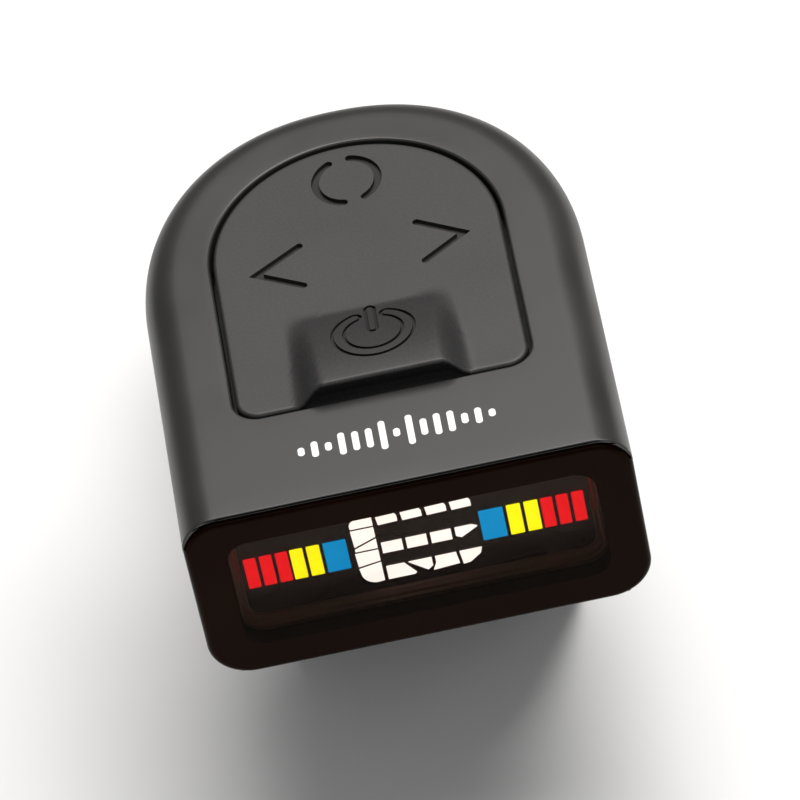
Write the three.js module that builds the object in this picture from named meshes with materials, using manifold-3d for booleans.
// Clip-on tuner: a display pod with a rocking keypad, carried on a sprung clip for an instrument's headstock.
// Millimetres, +Z up. The pod is drawn with y = 0 at the front of its window, y growing towards the clip's
// handles, and z = 0 at the plane where the headstock's face meets the upper pad. The last group moves that
// frame so that the origin is under the middle of the tuner, on the surface it stands on.
import * as THREE from "three";
import { mergeVertices } from "three/addons/utils/BufferGeometryUtils.js";
import Module from "manifold-3d";

const wasm = await Module();
wasm.setup();

// ---- driving dimensions ----

const POD = {
  halfWidth: 12.5,
  straight: 17.3, // length of the straight sides, before the rounded rear
  rearDepth: 14.3,
  roundness: 2.2, // power of the superellipse that closes the rear; 2 is an ellipse
  bottom: 2.8,
  top: 15.2,
  wall: 1.2,
  roof: 1.3,
  floor: 1.2,
  topEdge: 2.0, // radii of the long edges
  bottomEdge: 2.5,
  parting: 5.4, // height of the seam between housing and cover
  tongue: 0.5, // thickness of the cover's tongue inside the seam
  tongueTop: 6.2,
};
const SEAM = 0.1; // half of the clearance between two pieces that meet
const LENS = { thickness: 1.2, lip: 0.3, topCorner: 2.2, front: 0 };
const DISPLAY = { centre: 9.0, halfWidth: 9.8, halfHeight: 3.45, corner: 0.5 };
const BEZEL = { halfWidth: 11, halfHeight: 4.6, corner: 1.5, front: 1.4, rear: 2.0 };
const PANEL = { border: 0.4, front: 2.1, rear: 2.9 };
const LIGHT_GUIDE = { halfWidth: 6.4, halfHeight: 2.9, front: 3.0, rear: 4.3 };
const FLEX = { thickness: 0.2, halfWidth: 3, front: 3.0, high: 12.2, fold: 5.4, rear: 8.0, low: 11.45 };
const KEYPAD = {
  halfWidth: 8.2,
  front: 7.3,
  corner: 1.3,
  straightEnd: 19.2,
  gap: 0.2,
  top: 15.15,
  flangeTop: 13.05,
  flangeBottom: 12.5,
  flangeLip: 0.8,
  nubBottom: 12.05,
  nubRadius: 1.0,
};
const RAMP = { start: 14.0, rise: 1.35, halfBase: 4.9, slope: 1.5, swell: 1.8, sink: 0.4 };
const KEYS = {
  power: [0, 10.5],
  left: [-5.5, 18],
  right: [5.5, 18],
  mode: [0, 24],
};
const ROCKER = { y: 17.5, radius: 1.6, bottom: 11.35, top: 12.3 };
const BOARD = {
  bottom: 10.4,
  top: 11.2,
  halfWidth: 10.7,
  front: 6.6,
  rearDepth: 9.3,
  ledge: 0.3, // how far the housing's ribs reach under the board's edge
  ribs: [11, 20],
};
const CHIP = { halfWidth: 2.5, front: 7.2, rear: 12.2, thickness: 0.9 };
const DOME = { radius: 2.0, height: 0.4, rim: 0.08 };
const CELL = { radius: 10, thickness: 3.2, y: 15.5, bottom: 4.3, edge: 0.3 };
const DOOR = {
  bottom: 1.5,
  top: 2.65,
  front: 1.6,
  halfWidth: 10.45,
  taper: 0.55,
  rearDepth: 10.6,
  gap: 0.3,
  ridges: { count: 2, halfWidth: 3.5, width: 0.4, height: 0.35, pitch: 0.8 },
};
const RAIL = { rear: 14, outer: 11.5, clearance: 0.25, chamfer: 0.5 };
const UPPER_PAD = { thickness: 1.4, halfWidth: 9, front: 3.5, rear: 22, corner: 4 };
const SCREW = {
  head: 1.4,
  headHeight: 0.65,
  shank: 0.8,
  top: 9.4,
  slot: 0.35,
  slotHalfLength: 0.9,
  slotHalfWidth: 0.17,
  pilotSpare: 0.6,
};
const HOUSING_SCREW = { x: 8.2, y: 4.6, boss: 1.5 };
const CLIP_SCREW = { x: 5.2, y: 27.6, boss: 1.3 };
const PIVOT = { y: 36.5, z: -6, pin: 1.0, knuckle: 3.2 };
const HEADSTOCK = { thickness: 14 };
const ARM = { halfWidth: 8.9, earInner: 7.2, top: 2.65, bottom: 1.25, front: 22.5, rear: 45, corner: 5.5 };
const GRIP = { places: [0.22, 0.36, 0.5, 0.64], radius: 0.45, sink: 0.2, halfWidth: 5 };
const JAW = {
  halfWidth: 8.8,
  earInner: 5.3,
  earOuter: 6.9,
  foot: -13.5,
  floorTop: -11.7,
  seat: 15.6, // depth of the pad's seat below the headstock's face, with the jaws closed on a headstock
  tip: 7.4,
  rear: 50,
  skin: 1.7,
  wall: 1.6,
  rib: 0.6, // half the thickness of the ribs between the underside's bays
  crossRib: 16,
};
const LOWER_PAD = { front: 8, rear: 20, halfWidth: 8, thickness: 1.4, corner: 2.5 };
const CLOSED_GAP = 0.3; // between the two pads' front edges when nothing is clipped
const SPRING = { wire: 0.9, radius: 2.75, turns: 5, pitch: 1.02, leg: 7.5 };
const PIEZO = { halfWidth: 3.2, front: 26.9, rear: 28.9, thickness: 0.5, leadX: 1.9, leadRadius: 0.25 };

// The lower jaw turns this far from closed until its pad lies parallel to the upper one on a headstock.
const reach = Math.hypot(PIVOT.y - LOWER_PAD.front, HEADSTOCK.thickness + PIVOT.z);
const CLAMP_ANGLE =
  Math.atan2(HEADSTOCK.thickness + PIVOT.z, PIVOT.y - LOWER_PAD.front) +
  Math.asin((-PIVOT.z - CLOSED_GAP) / reach);

// ---- helpers ----

const ARC_STEPS = 14;
const { PI, sin, cos, tan } = Math;

function solidOf(geometry) {
  geometry.deleteAttribute("normal");
  geometry.deleteAttribute("uv");
  const merged = mergeVertices(geometry, 1e-4);
  return new wasm.Manifold(
    new wasm.Mesh({
      numProp: 3,
      vertProperties: merged.attributes.position.array,
      triVerts: new Uint32Array(merged.index.array),
    }),
  );
}

function geometryOf(solid) {
  const mesh = solid.getMesh();
  const geometry = new THREE.BufferGeometry();
  geometry.setAttribute("position", new THREE.BufferAttribute(mesh.vertProperties, 3));
  geometry.setIndex(new THREE.BufferAttribute(mesh.triVerts, 1));
  geometry.computeVertexNormals();
  return geometry;
}

const join = (first, ...others) => others.reduce((all, next) => all.add(next), first);
const cut = (first, ...others) => others.reduce((all, next) => all.subtract(next), first);

// An outline in the XY plane, raised from z0 to z1.
function slab(shape, z0, z1, steps = ARC_STEPS) {
  const geometry = new THREE.ExtrudeGeometry(shape, {
    depth: z1 - z0,
    bevelEnabled: false,
    curveSegments: steps,
  });
  return solidOf(geometry.translate(0, 0, z0));
}

// An outline in the XZ plane, filling y0 to y1.
function frontPlate(shape, y0, y1, steps = 6) {
  const geometry = new THREE.ExtrudeGeometry(shape, {
    depth: y1 - y0,
    bevelEnabled: false,
    curveSegments: steps,
  });
  return solidOf(geometry.rotateX(PI / 2).translate(0, y1, 0));
}

// An outline in the YZ plane, filling x0 to x1.
function sidePlate(shape, x0, x1, steps = 8) {
  const geometry = new THREE.ExtrudeGeometry(shape, {
    depth: x1 - x0,
    bevelEnabled: false,
    curveSegments: steps,
  });
  const turn = new THREE.Matrix4().set(0, 0, 1, x0, 1, 0, 0, 0, 0, 1, 0, 0, 0, 0, 0, 1);
  return solidOf(geometry.applyMatrix4(turn));
}

function box(x0, x1, y0, y1, z0, z1) {
  const geometry = new THREE.BoxGeometry(x1 - x0, y1 - y0, z1 - z0);
  return solidOf(geometry.translate((x0 + x1) / 2, (y0 + y1) / 2, (z0 + z1) / 2));
}

function post(x, y, radius, z0, z1, sides = 20) {
  const geometry = new THREE.CylinderGeometry(radius, radius, z1 - z0, sides);
  return solidOf(geometry.rotateX(PI / 2).translate(x, y, (z0 + z1) / 2));
}

function crossRod(radius, x0, x1, y = PIVOT.y, z = PIVOT.z, sides = 24) {
  const geometry = new THREE.CylinderGeometry(radius, radius, x1 - x0, sides);
  return solidOf(geometry.rotateZ(PI / 2).translate((x0 + x1) / 2, y, z));
}

const polygon = (points) => new THREE.Shape(points.map(([u, v]) => new THREE.Vector2(u, v)));

// A rectangle with its own corner radius at each end of the second axis.
function roundedRectangle(u0, u1, v0, v1, lowCorner, highCorner = lowCorner) {
  const shape = new THREE.Shape();
  shape.moveTo(u0 + lowCorner, v0);
  shape.absarc(u1 - lowCorner, v0 + lowCorner, lowCorner, -PI / 2, 0, false);
  shape.absarc(u1 - highCorner, v1 - highCorner, highCorner, 0, PI / 2, false);
  shape.absarc(u0 + highCorner, v1 - highCorner, highCorner, PI / 2, PI, false);
  shape.absarc(u0 + lowCorner, v0 + lowCorner, lowCorner, PI, 1.5 * PI, false);
  return shape;
}

// Straight sides from y = front to y = straight, closed by half a superellipse.
function archShape(halfWidth, front, straight, rearDepth, steps = 28, power = 2) {
  const points = [
    [-halfWidth, front],
    [halfWidth, front],
  ];
  for (let i = 0; i <= steps; i += 1) {
    const angle = (i / steps) * PI;
    const across = Math.sign(cos(angle)) * Math.abs(cos(angle)) ** (2 / power);
    const back = Math.max(sin(angle), 0) ** (2 / power);
    points.push([halfWidth * across, straight + rearDepth * back]);
  }
  return polygon(points);
}

// A band of even thickness along a bent line in the YZ plane.
function bandShape(points, thickness) {
  const side = (sign) =>
    points.map(([u, v], i) => {
      const [u0, v0] = points[Math.max(i - 1, 0)];
      const [u1, v1] = points[Math.min(i + 1, points.length - 1)];
      const length = Math.hypot(u1 - u0, v1 - v0);
      const offset = (sign * thickness) / 2 / length;
      return [u - (v1 - v0) * offset, v + (u1 - u0) * offset];
    });
  return polygon([...side(-1), ...side(1).reverse()]);
}

// Turns a point of the clamped lower jaw back to where it lies with the jaws closed.
function closed([y, z]) {
  const dy = y - PIVOT.y;
  const dz = z - PIVOT.z;
  return [
    PIVOT.y + dy * cos(CLAMP_ANGLE) + dz * sin(CLAMP_ANGLE),
    PIVOT.z - dy * sin(CLAMP_ANGLE) + dz * cos(CLAMP_ANGLE),
  ];
}

const bothSides = (make) => [-1, 1].map(make);
const FAR = 40; // beyond every piece, for cuts

// ---- the pod's two shells ----

const POD_STEPS = 48;

function podOutline(inset) {
  const { halfWidth, straight, rearDepth, roundness } = POD;
  return archShape(halfWidth - inset, -FAR, straight, rearDepth - inset, POD_STEPS, roundness);
}

// The whole pod with its long edges rounded, from a plane near its front backwards.
function podBody(front, edge) {
  const geometry = new THREE.ExtrudeGeometry(podOutline(edge), {
    depth: POD.top - POD.bottom - 2 * edge,
    bevelThickness: edge,
    bevelSize: edge,
    bevelSegments: 5,
  });
  const body = solidOf(geometry.translate(0, 0, POD.bottom + edge));
  return body.intersect(box(-FAR, FAR, front, FAR, -FAR, FAR));
}

// The space inside the pod's walls, or a slimmer one, open at the front.
function podCavity(z0, z1, inset = 0) {
  return slab(podOutline(POD.wall + inset), z0, z1);
}

function lensOutline(grow) {
  return roundedRectangle(
    -POD.halfWidth - grow,
    POD.halfWidth + grow,
    POD.bottom - grow,
    POD.top - LENS.lip + grow,
    POD.bottomEdge + grow,
    LENS.topCorner + grow,
  );
}

function keypadOutline(grow) {
  const halfWidth = KEYPAD.halfWidth + grow;
  const front = KEYPAD.front - grow;
  const corner = KEYPAD.corner + grow;
  const shape = new THREE.Shape();
  shape.moveTo(-halfWidth + corner, front);
  shape.absarc(halfWidth - corner, front + corner, corner, -PI / 2, 0, false);
  shape.absarc(0, KEYPAD.straightEnd, halfWidth, 0, PI, false);
  shape.absarc(-halfWidth + corner, front + corner, corner, PI, 1.5 * PI, false);
  return shape;
}

function screwBoss({ x, y, boss }, side) {
  const bottom = POD.bottom + POD.floor + 2 * SEAM;
  return post(side * x, y, boss, bottom, POD.top - POD.roof + SEAM);
}

function topHousing() {
  const seam = POD.parting + SEAM;
  const pocketDepth = LENS.thickness + SEAM;
  const ribs = BOARD.ribs.flatMap((y) =>
    bothSides((side) => {
      const inner = side * (BOARD.halfWidth - BOARD.ledge);
      const outer = side * (POD.halfWidth - POD.wall / 2);
      const bottom = POD.tongueTop + 2 * SEAM;
      return box(Math.min(inner, outer), Math.max(inner, outer), y, y + POD.wall, bottom, BOARD.bottom - SEAM);
    }),
  );
  const shell = cut(
    podBody(SEAM, POD.topEdge),
    box(-FAR, FAR, -FAR, FAR, -FAR, seam),
    podCavity(-FAR, POD.top - POD.roof),
    frontPlate(lensOutline(SEAM), -FAR, pocketDepth),
    slab(keypadOutline(KEYPAD.gap), POD.parting, FAR),
  );
  const bosses = bothSides((side) => [screwBoss(HOUSING_SCREW, side), screwBoss(CLIP_SCREW, side)]).flat();
  const pilots = [HOUSING_SCREW, CLIP_SCREW].flatMap(({ x, y }) =>
    bothSides((side) => post(side * x, y, SCREW.shank + SEAM, 0, SCREW.top + SCREW.pilotSpare, 12)),
  );
  return cut(join(shell, ...ribs, ...bosses), ...pilots);
}

function bottomCover() {
  const floorTop = POD.bottom + POD.floor;
  const tray = cut(
    podBody(LENS.thickness + SEAM, POD.bottomEdge),
    box(-FAR, FAR, -FAR, FAR, POD.parting - SEAM, FAR),
    podCavity(floorTop, FAR),
    post(0, CELL.y, CELL.radius + 1.5 * SEAM, 0, floorTop + 1, 64),
  );
  const tongue = cut(
    podCavity(floorTop - SEAM, POD.tongueTop, SEAM),
    podCavity(0, FAR, SEAM + POD.tongue),
    box(-FAR, FAR, -FAR, PANEL.rear + SEAM, -FAR, FAR),
  );
  const rails = bothSides((side) => {
    const edge = DOOR.halfWidth + RAIL.clearance;
    const points = [
      [edge - DOOR.taper, DOOR.bottom],
      [RAIL.outer - RAIL.chamfer, DOOR.bottom],
      [RAIL.outer, DOOR.bottom + RAIL.chamfer],
      [RAIL.outer, POD.bottom + 1],
      [edge, POD.bottom + 1],
      [edge, DOOR.top],
    ];
    const shape = polygon(points.map(([x, z]) => [side * x, z]));
    return frontPlate(shape, DOOR.front, RAIL.rear);
  });
  const holes = bothSides((side) => [
    post(side * CLIP_SCREW.x, CLIP_SCREW.y, CLIP_SCREW.boss + 2 * SEAM, floorTop, FAR),
    post(side * HOUSING_SCREW.x, HOUSING_SCREW.y, SCREW.shank + SEAM, 0, FAR, 12),
    post(side * HOUSING_SCREW.x, HOUSING_SCREW.y, SCREW.head + SEAM, 0, POD.bottom + SCREW.headHeight + 2 * SEAM),
    post(side * CLIP_SCREW.x, CLIP_SCREW.y, SCREW.shank + SEAM, 0, FAR, 12),
  ]).flat();
  return cut(join(tray, tongue, ...rails), ...holes);
}

// ---- window and display ----

function displayLens() {
  return frontPlate(lensOutline(0), LENS.front, LENS.thickness);
}

function displayBezel() {
  const centred = ({ halfWidth, halfHeight, corner }) =>
    roundedRectangle(
      -halfWidth,
      halfWidth,
      DISPLAY.centre - halfHeight,
      DISPLAY.centre + halfHeight,
      corner,
    );
  return cut(frontPlate(centred(BEZEL), BEZEL.front, BEZEL.rear), frontPlate(centred(DISPLAY), 0, FAR));
}

function displayPanel() {
  const halfWidth = DISPLAY.halfWidth + PANEL.border;
  const halfHeight = DISPLAY.halfHeight + PANEL.border;
  const { centre } = DISPLAY;
  return box(-halfWidth, halfWidth, PANEL.front, PANEL.rear, centre - halfHeight, centre + halfHeight);
}

function displayLightGuide() {
  const { halfWidth, halfHeight, front, rear } = LIGHT_GUIDE;
  return box(-halfWidth, halfWidth, front, rear, DISPLAY.centre - halfHeight, DISPLAY.centre + halfHeight);
}

function displayFlex() {
  const route = [
    [FLEX.front, FLEX.high],
    [FLEX.fold, FLEX.high],
    [FLEX.fold + 1.1, FLEX.low],
    [FLEX.rear, FLEX.low],
  ];
  return sidePlate(bandShape(route, FLEX.thickness), -FLEX.halfWidth, FLEX.halfWidth);
}

// ---- circuit board and what is on it ----

function mainCircuitBoard() {
  const outline = archShape(BOARD.halfWidth, BOARD.front, POD.straight, BOARD.rearDepth);
  return slab(outline, BOARD.bottom, BOARD.top);
}

function microcontroller() {
  const top = BOARD.bottom - SEAM;
  return box(-CHIP.halfWidth, CHIP.halfWidth, CHIP.front, CHIP.rear, top - CHIP.thickness, top);
}

function snapDome([x, y]) {
  const points = [new THREE.Vector2(0, 0), new THREE.Vector2(DOME.radius, 0)];
  for (let i = 0; i <= 4; i += 1) {
    const angle = (i / 4) * (PI / 2);
    const height = DOME.rim + (DOME.height - DOME.rim) * sin(angle);
    points.push(new THREE.Vector2(DOME.radius * cos(angle), height));
  }
  points[points.length - 1].x = 0;
  const geometry = new THREE.LatheGeometry(points, 20);
  return solidOf(geometry.rotateX(PI / 2).translate(x, y, BOARD.top + SEAM));
}

// ---- keypad ----

// The power key's wedge: it rises towards the window and its sides run out softly.
function keypadRamp() {
  const columns = 16;
  const rows = 8;
  const base = KEYPAD.top - RAMP.sink;
  const positions = [];
  const index = [];
  const height = (x, y) => {
    const along = 1 - ((y - KEYPAD.front) / (RAMP.start - KEYPAD.front)) ** RAMP.swell;
    const across = Math.min(1, (RAMP.halfBase - Math.abs(x)) / RAMP.slope);
    return RAMP.rise * along * across * across * (3 - 2 * across);
  };
  for (const top of [0, 1]) {
    for (let j = 0; j <= rows; j += 1) {
      for (let i = 0; i <= columns; i += 1) {
        const x = RAMP.halfBase * (-1 + (2 * i) / columns);
        const y = KEYPAD.front + ((RAMP.start - KEYPAD.front) * j) / rows;
        positions.push(x, y, top ? KEYPAD.top + height(x, y) : base);
      }
    }
  }
  const layer = (columns + 1) * (rows + 1);
  const at = (i, j, top) => top * layer + j * (columns + 1) + i;
  const quad = (a, b, c, d) => index.push(a, b, c, a, c, d);
  for (let j = 0; j < rows; j += 1) {
    for (let i = 0; i < columns; i += 1) {
      quad(at(i, j, 1), at(i + 1, j, 1), at(i + 1, j + 1, 1), at(i, j + 1, 1));
      quad(at(i, j, 0), at(i, j + 1, 0), at(i + 1, j + 1, 0), at(i + 1, j, 0));
    }
  }
  for (let i = 0; i < columns; i += 1) {
    quad(at(i, 0, 0), at(i + 1, 0, 0), at(i + 1, 0, 1), at(i, 0, 1));
    quad(at(i + 1, rows, 0), at(i, rows, 0), at(i, rows, 1), at(i + 1, rows, 1));
  }
  for (let j = 0; j < rows; j += 1) {
    quad(at(0, j + 1, 0), at(0, j, 0), at(0, j, 1), at(0, j + 1, 1));
    quad(at(columns, j, 0), at(columns, j + 1, 0), at(columns, j + 1, 1), at(columns, j, 1));
  }
  const geometry = new THREE.BufferGeometry();
  geometry.setAttribute("position", new THREE.Float32BufferAttribute(positions, 3));
  geometry.setIndex(index);
  return solidOf(geometry);
}

function keypad() {
  const cap = slab(keypadOutline(0), KEYPAD.flangeBottom, KEYPAD.top);
  const flange = slab(keypadOutline(KEYPAD.flangeLip), KEYPAD.flangeBottom, KEYPAD.flangeTop);
  const clearance = bothSides((side) =>
    post(side * CLIP_SCREW.x, CLIP_SCREW.y, CLIP_SCREW.boss + 0.4, KEYPAD.flangeBottom - 1, KEYPAD.flangeTop + SEAM),
  );
  const nubs = Object.values(KEYS).map(([x, y]) =>
    post(x, y, KEYPAD.nubRadius, KEYPAD.nubBottom, KEYPAD.flangeBottom + SEAM, 16),
  );
  return join(cap, cut(flange, ...clearance), keypadRamp(), ...nubs);
}

function keypadPivotFoot() {
  return post(0, ROCKER.y, ROCKER.radius, ROCKER.bottom, ROCKER.top, 24);
}

// ---- power ----

function coinCell() {
  const { radius, thickness, edge } = CELL;
  const profile = [
    [0, 0],
    [radius - edge, 0],
    [radius, edge],
    [radius, thickness - edge],
    [radius - edge, thickness - edge / 2],
    [radius - 1.4, thickness - edge / 2],
    [radius - 1.6, thickness],
    [0, thickness],
  ];
  const geometry = new THREE.LatheGeometry(profile.map(([r, z]) => new THREE.Vector2(r, z)), 48);
  return solidOf(geometry.rotateX(PI / 2).translate(0, CELL.y, CELL.bottom));
}

function batteryContactPositive() {
  const route = [
    [24.4, 10.2],
    [26.0, 10.2],
    [26.0, 7.4],
    [26.05, 4.8],
  ];
  return sidePlate(bandShape(route, 0.25), -1.5, 1.5);
}

function batteryContactNegative() {
  const route = [
    [20.0, 10.2],
    [17.5, 10.2],
    [13.6, 7.85],
    [12.6, 8.3],
  ];
  return sidePlate(bandShape(route, 0.25), -2, 2);
}

function doorOutline(grow) {
  return archShape(DOOR.halfWidth + grow, DOOR.front - grow, CELL.y, DOOR.rearDepth + grow, 40);
}

function batteryDoor() {
  const { bottom, top, halfWidth, taper, ridges } = DOOR;
  const section = polygon([
    [-halfWidth + taper, bottom],
    [halfWidth - taper, bottom],
    [halfWidth, top],
    [-halfWidth, top],
  ]);
  const plate = frontPlate(section, DOOR.front, FAR).intersect(slab(doorOutline(0), 0, POD.bottom));
  const finger = Array.from({ length: ridges.count }, (_, i) => {
    const y = DOOR.front + DOOR.gap + ridges.pitch * i;
    return box(-ridges.halfWidth, ridges.halfWidth, y, y + ridges.width, bottom - ridges.height, bottom + SEAM);
  });
  return join(plate, ...finger);
}

function upperJawPad() {
  const { thickness, halfWidth, front, rear, corner } = UPPER_PAD;
  return slab(roundedRectangle(-halfWidth, halfWidth, front, rear, 2, corner), 0, thickness, 6);
}

// ---- screws ----

function screw(x, y, headBottom) {
  const headTop = headBottom + SCREW.headHeight;
  const head = post(x, y, SCREW.head, headBottom, headTop);
  const shank = post(x, y, SCREW.shank, headTop - SEAM, SCREW.top, 12);
  const { slotHalfLength: long, slotHalfWidth: short } = SCREW;
  const slots = [
    [long, short],
    [short, long],
  ].map(([dx, dy]) => box(x - dx, x + dx, y - dy, y + dy, headBottom - 1, headBottom + SCREW.slot));
  return cut(join(head, shank), ...slots);
}

// ---- vibration sensor ----

function piezoSensor() {
  const floorTop = POD.bottom + POD.floor;
  const { halfWidth, front, rear, thickness } = PIEZO;
  return box(-halfWidth, halfWidth, front, rear, floorTop + SEAM, floorTop + SEAM + thickness);
}

function piezoLead(side) {
  const x = side * PIEZO.leadX;
  const route = new THREE.CatmullRomCurve3([
    new THREE.Vector3(x, 28.2, 4.75),
    new THREE.Vector3(x, 28.2, 6.2),
    new THREE.Vector3(x, 27.4, 8.4),
    new THREE.Vector3(x, 26.2, BOARD.bottom - SEAM),
  ]);
  const section = new THREE.Shape();
  section.absarc(0, 0, PIEZO.leadRadius, 0, 2 * PI, false);
  return solidOf(new THREE.ExtrudeGeometry(section, { extrudePath: route, steps: 8, curveSegments: 8 }));
}

// ---- clip ----

function knuckle(x0, x1, points) {
  return join(sidePlate(polygon(points), x0, x1), crossRod(PIVOT.knuckle, x0, x1));
}

// Repeats a cheek on both sides of the clip.
function cheeks(inner, outer, points) {
  return [knuckle(inner, outer, points), knuckle(-outer, -inner, points)];
}

const point = (y, z) => new THREE.Vector2(y, z);

// Rounded ridges across the outside of a handle, sunk a little into its curve.
function grips(end, bend, root, sink) {
  const curve = new THREE.QuadraticBezierCurve(end, bend, root);
  return GRIP.places.map((place) => {
    const { x: y, y: z } = curve.getPoint(place);
    return crossRod(GRIP.radius, -GRIP.halfWidth, GRIP.halfWidth, y, z + sink, 10);
  });
}

function upperClipArm() {
  const { halfWidth, earInner, top, bottom, front, rear, corner } = ARM;
  const throat = PIVOT.y - 4.6;
  const end = point(rear - 0.34, -1.03);
  const bend = point(PIVOT.y + 5, 2.2);
  const root = point(PIVOT.y - 0.5, 2.75);
  const profile = new THREE.Shape();
  profile.moveTo(front, bottom);
  profile.lineTo(throat, bottom);
  profile.lineTo(throat, PIVOT.z + 1.5);
  profile.lineTo(throat + 1, PIVOT.z + 1.5);
  profile.lineTo(throat + 1, -0.6);
  profile.quadraticCurveTo(throat + 1.2, 0.4, throat + 3, 0.4);
  profile.quadraticCurveTo(PIVOT.y + 4, 0.2, rear - 1, -2.4);
  profile.absarc(rear - 0.9, -1.6, 0.8, -PI / 2, PI / 4, false);
  profile.quadraticCurveTo(bend.x, bend.y, root.x, root.y);
  profile.lineTo(PIVOT.y - 3, top);
  profile.lineTo(front, top);
  const plan = roundedRectangle(-halfWidth, halfWidth, front, rear, 0.5, corner);
  const bar = sidePlate(profile, -halfWidth, halfWidth).intersect(slab(plan, -FAR, FAR, 8));
  const ears = cheeks(earInner, halfWidth, [
    [throat, 1.5],
    [throat, PIVOT.z + 1],
    [PIVOT.y - PIVOT.knuckle, PIVOT.z - 0.5],
    [PIVOT.y + PIVOT.knuckle, PIVOT.z - 0.5],
    [PIVOT.y + 6, -0.9],
    [PIVOT.y + 2, 1.5],
  ]);
  const screwHoles = bothSides((side) => [
    post(side * CLIP_SCREW.x, CLIP_SCREW.y, SCREW.shank + SEAM, 0, FAR, 12),
    post(side * CLIP_SCREW.x, CLIP_SCREW.y, SCREW.head + SEAM, 0, bottom + SCREW.headHeight + 2 * SEAM),
  ]).flat();
  return cut(
    join(bar, ...ears, ...grips(end, bend, root, -GRIP.sink)),
    slab(doorOutline(DOOR.gap), 0, FAR),
    crossRod(PIVOT.pin + 0.12, -FAR, FAR),
    ...screwHoles,
  );
}

function hingePin() {
  const head = ARM.halfWidth + SEAM;
  const heads = [
    crossRod(1.7, head, head + 0.5, PIVOT.y, PIVOT.z),
    crossRod(1.7, -head - 0.5, -head, PIVOT.y, PIVOT.z),
  ];
  return join(crossRod(PIVOT.pin, -head - SEAM, head + SEAM), ...heads);
}

// Height of the lower pad's seat, with the jaws closed, at a distance from the window.
function seatHeight(y) {
  const [tipY, tipZ] = closed([JAW.tip, -JAW.seat]);
  return tipZ - (y - tipY) * tan(CLAMP_ANGLE);
}

function lowerJaw() {
  const { halfWidth, foot, floorTop, rear } = JAW;
  const tip = closed([JAW.tip, -JAW.seat]);
  const bellyStart = tip[0] + (tip[1] - floorTop) / tan(CLAMP_ANGLE);
  const heel = PIVOT.y + 4;
  const handleRise = 3.7;
  const end = point(rear - 0.9, floorTop + handleRise - 1.9);
  const bend = point(heel + 3.6, foot);
  const profile = new THREE.Shape();
  profile.moveTo(tip[0], tip[1]);
  profile.lineTo(tip[0] - 0.5, tip[1] - 1.5);
  profile.lineTo(PIVOT.y - 19.6, foot + 0.4);
  profile.quadraticCurveTo(PIVOT.y - 19.2, foot, PIVOT.y - 18.6, foot);
  profile.lineTo(heel, foot);
  profile.quadraticCurveTo(bend.x, bend.y, end.x, end.y);
  profile.absarc(rear - 0.9, floorTop + handleRise - 1, 0.9, -PI / 2, PI / 2 + 0.5, false);
  profile.quadraticCurveTo(heel + 2, floorTop, heel - 2, floorTop);
  profile.lineTo(bellyStart, floorTop);
  const plan = roundedRectangle(-halfWidth, halfWidth, tip[0] - 0.5, rear, 3.5, 4.5);
  const hull = sidePlate(profile, -halfWidth, halfWidth).intersect(slab(plan, -FAR, FAR, 8));
  const ears = cheeks(JAW.earInner, JAW.earOuter, [
    [bellyStart + 1.5, floorTop - SEAM],
    [PIVOT.y + 5.5, floorTop - SEAM],
    [PIVOT.y + PIVOT.knuckle, PIVOT.z],
    [PIVOT.y - PIVOT.knuckle, PIVOT.z],
  ]);
  const bays = [
    [tip[0] + 3, JAW.crossRib],
    [JAW.crossRib + 2 * JAW.rib, bellyStart - 1],
  ].flatMap(([y0, y1]) => {
    const shape = polygon([
      [y0, seatHeight(y0) - JAW.skin],
      [y0, foot - 1],
      [y1, foot - 1],
      [y1, Math.max(seatHeight(y1) - JAW.skin, foot)],
    ]);
    const outer = halfWidth - JAW.wall;
    return [sidePlate(shape, JAW.rib, outer), sidePlate(shape, -outer, -JAW.rib)];
  });
  return cut(
    join(hull, ...ears, ...grips(end, bend, point(heel, foot), GRIP.sink)),
    ...bays,
    crossRod(PIVOT.pin + 2 * SEAM, -FAR, FAR),
  );
}

// Drawn parallel to the upper pad, in a group that is then turned about the hinge to the closed position.
function lowerJawPad() {
  const { front, rear, halfWidth, thickness, corner } = LOWER_PAD;
  const top = -HEADSTOCK.thickness;
  return slab(roundedRectangle(-halfWidth, halfWidth, front, rear, corner, 1), top - thickness, top, 6);
}

// A torsion spring round the pin: one leg under the upper handle, the other on the lower handle.
class SpringWire extends THREE.Curve {
  constructor() {
    super();
    this.startAngle = (93 * PI) / 180;
    this.sweep = (177 * PI) / 180 + 2 * PI * SPRING.turns;
    this.coilLength = this.sweep * SPRING.radius;
    this.total = this.coilLength + 2 * SPRING.leg;
  }

  getPoint(t) {
    const along = t * this.total - SPRING.leg;
    const onCoil = Math.min(Math.max(along, 0), this.coilLength);
    const beyond = along - onCoil;
    const angle = this.startAngle + onCoil / SPRING.radius;
    const x = ((onCoil / this.coilLength - 0.5) * this.sweep * SPRING.pitch) / (2 * PI);
    return new THREE.Vector3(
      x,
      PIVOT.y + SPRING.radius * cos(angle) - beyond * sin(angle),
      PIVOT.z + SPRING.radius * sin(angle) + beyond * cos(angle),
    );
  }
}

function torsionSpring() {
  const section = new THREE.Shape();
  section.absarc(0, 0, SPRING.wire / 2, 0, 2 * PI, false);
  const wire = new THREE.ExtrudeGeometry(section, {
    extrudePath: new SpringWire(),
    steps: 96,
    curveSegments: 8,
  });
  return solidOf(wire);
}

// ---- assembly ----

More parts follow.
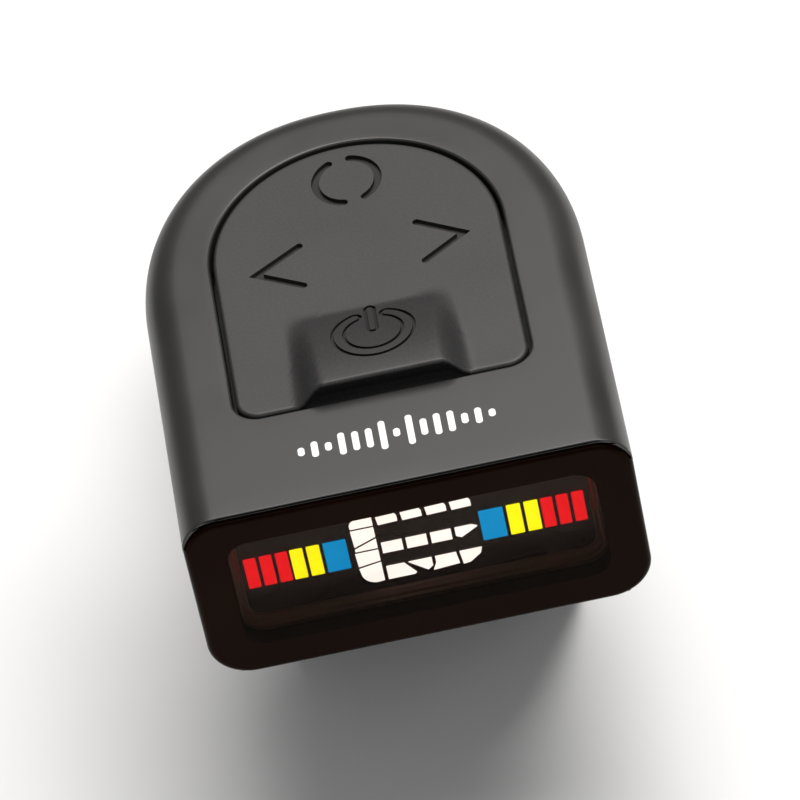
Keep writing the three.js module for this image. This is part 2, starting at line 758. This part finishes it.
const FINISH = {
  housing: [0x55524f, 0.55, 0],
  keypad: [0x474544, 0.75, 0],
  window: [0x120b08, 0.08, 0],
  black: [0x161514, 0.6, 0],
  panel: [0x1a1412, 0.3, 0],
  guide: [0xe8e8e2, 0.4, 0],
  flex: [0xb5701c, 0.45, 0],
  board: [0x1f5a35, 0.5, 0],
  chip: [0x18181a, 0.6, 0],
  steel: [0xb9bcc0, 0.3, 1],
  spring: [0x8f9296, 0.3, 1],
  pad: [0x2b2a29, 0.85, 0],
  clip: [0x3b3937, 0.6, 0],
  piezo: [0xd0a94a, 0.4, 1],
  lead: [0xa02020, 0.5, 0],
};

function add(group, name, solid, [color, roughness, metalness]) {
  const mesh = new THREE.Mesh(
    geometryOf(solid),
    new THREE.MeshStandardMaterial({ color, roughness, metalness }),
  );
  mesh.name = name;
  group.add(mesh);
}

const tuner = new THREE.Group();
tuner.position.set(0, -JAW.rear / 2, -JAW.foot);

add(tuner, "top_housing", topHousing(), FINISH.housing);
add(tuner, "bottom_cover", bottomCover(), FINISH.housing);
add(tuner, "display_lens", displayLens(), FINISH.window);
add(tuner, "display_bezel", displayBezel(), FINISH.black);
add(tuner, "display_panel", displayPanel(), FINISH.panel);
add(tuner, "display_light_guide", displayLightGuide(), FINISH.guide);
add(tuner, "display_flex", displayFlex(), FINISH.flex);
add(tuner, "main_circuit_board", mainCircuitBoard(), FINISH.board);
add(tuner, "microcontroller", microcontroller(), FINISH.chip);
for (const [key, place] of Object.entries(KEYS)) {
  add(tuner, "snap_dome_" + key, snapDome(place), FINISH.steel);
}
add(tuner, "keypad", keypad(), FINISH.keypad);
add(tuner, "keypad_pivot_foot", keypadPivotFoot(), FINISH.pad);
add(tuner, "coin_cell", coinCell(), FINISH.steel);
add(tuner, "battery_contact_positive", batteryContactPositive(), FINISH.steel);
add(tuner, "battery_contact_negative", batteryContactNegative(), FINISH.steel);
add(tuner, "battery_door", batteryDoor(), FINISH.housing);
add(tuner, "upper_jaw_pad", upperJawPad(), FINISH.pad);
for (const [name, side] of Object.entries({ left: -1, right: 1 })) {
  const front = screw(side * HOUSING_SCREW.x, HOUSING_SCREW.y, POD.bottom + SEAM);
  const rear = screw(side * CLIP_SCREW.x, CLIP_SCREW.y, ARM.bottom + SEAM);
  add(tuner, "housing_screw_" + name, front, FINISH.steel);
  add(tuner, "clip_screw_" + name, rear, FINISH.steel);
  add(tuner, "piezo_lead_" + name, piezoLead(side), FINISH.lead);
}
add(tuner, "piezo_sensor", piezoSensor(), FINISH.piezo);
add(tuner, "upper_clip_arm", upperClipArm(), FINISH.clip);
add(tuner, "hinge_pin", hingePin(), FINISH.steel);
add(tuner, "torsion_spring", torsionSpring(), FINISH.spring);
add(tuner, "lower_jaw", lowerJaw(), FINISH.clip);

const hinge = new THREE.Group();
hinge.position.set(0, PIVOT.y, PIVOT.z);
hinge.rotation.x = -CLAMP_ANGLE;
const clamped = new THREE.Group();
clamped.position.set(0, -PIVOT.y, -PIVOT.z);
hinge.add(clamped);
tuner.add(hinge);
add(clamped, "lower_jaw_pad", lowerJawPad(), FINISH.pad);

export default tuner;
